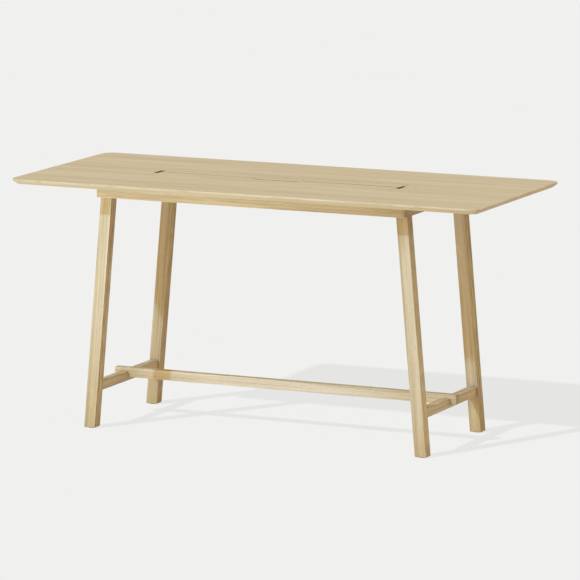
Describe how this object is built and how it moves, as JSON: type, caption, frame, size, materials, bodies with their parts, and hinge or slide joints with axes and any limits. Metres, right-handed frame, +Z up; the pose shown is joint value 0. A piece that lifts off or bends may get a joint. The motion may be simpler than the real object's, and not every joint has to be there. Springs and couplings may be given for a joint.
{
  "type": "bar-height oak table",
  "caption": "Long bar-height oak table on splayed square legs with low rails, a centre stretcher and a two-flap cable hatch in its top.",
  "frame": {"origin": "on the floor, under the middle of the tabletop", "axes": "+X along the table to its right, +Y to its back, +Z up"},
  "size_m": [2.1, 0.9, 1.05],
  "materials": {
    "oak_top": "matt oiled light oak, grain along X",
    "oak_hatch": "matt oiled light oak, grain along X",
    "oak_frame": "matt oiled light oak",
    "oak_leg": "matt oiled light oak, grain along the leg",
    "oak_rail": "matt oiled light oak",
    "beech_dowel": "raw beech",
    "black_steel": "black powder coat",
    "zinc_steel": "bright zinc plating",
    "hinge_brass": "satin brass",
    "hinge_steel": "turned steel",
    "glide": "brown nylon"
  },
  "bodies": {
    "table": {"tabletop": "oak_top", "centre_block": "oak_hatch", "front_apron": "oak_frame", "back_apron": "oak_frame", "left_bearer": "oak_frame", "right_bearer": "oak_frame", "front_left_leg": "oak_leg", "front_right_leg": "oak_leg", "back_left_leg": "oak_leg", "back_right_leg": "oak_leg", "left_cross_rail": "oak_rail", "right_cross_rail": "oak_rail", "long_stretcher": "oak_rail", "bearer_dowels": "beech_dowel", "leg_dowels": "beech_dowel", "left_flap_rest": "black_steel", "centre_flap_rest": "black_steel", "right_flap_rest": "black_steel", "cable_tray": "black_steel", "flap_rest_screws": "zinc_steel", "centre_block_screws": "zinc_steel", "cable_tray_screws": "zinc_steel", "bearer_screws": "zinc_steel", "top_brackets": "zinc_steel", "top_bracket_screws": "zinc_steel", "leg_bolts": "zinc_steel", "leg_washers": "zinc_steel", "leg_insert_nuts": "zinc_steel", "stretcher_screws": "zinc_steel", "front_left_hinge_top_leaf": "hinge_brass", "front_right_hinge_top_leaf": "hinge_brass", "back_left_hinge_top_leaf": "hinge_brass", "back_right_hinge_top_leaf": "hinge_brass", "top_hinge_screws": "hinge_brass", "hinge_pins": "hinge_steel", "front_left_glide": "glide", "front_right_glide": "glide", "back_left_glide": "glide", "back_right_glide": "glide"},
    "front_flap": {"front_flap": "oak_hatch", "front_left_hinge_flap_leaf": "hinge_brass", "front_right_hinge_flap_leaf": "hinge_brass", "front_flap_hinge_screws": "hinge_brass"},
    "back_flap": {"back_flap": "oak_hatch", "back_left_hinge_flap_leaf": "hinge_brass", "back_right_hinge_flap_leaf": "hinge_brass", "back_flap_hinge_screws": "hinge_brass"}
  },
  "joints": [
    {"name": "front_flap_hinge", "type": "hinge", "parent": "table", "child": "front_flap", "pos_m": [-0.025, -0.096, 1.046], "axis": [1, 0, 0], "range_deg": [0, 95]},
    {"name": "back_flap_hinge", "type": "hinge", "parent": "table", "child": "back_flap", "pos_m": [-0.025, 0.096, 1.046], "axis": [-1, 0, 0], "range_deg": [0, 95]}
  ]
}
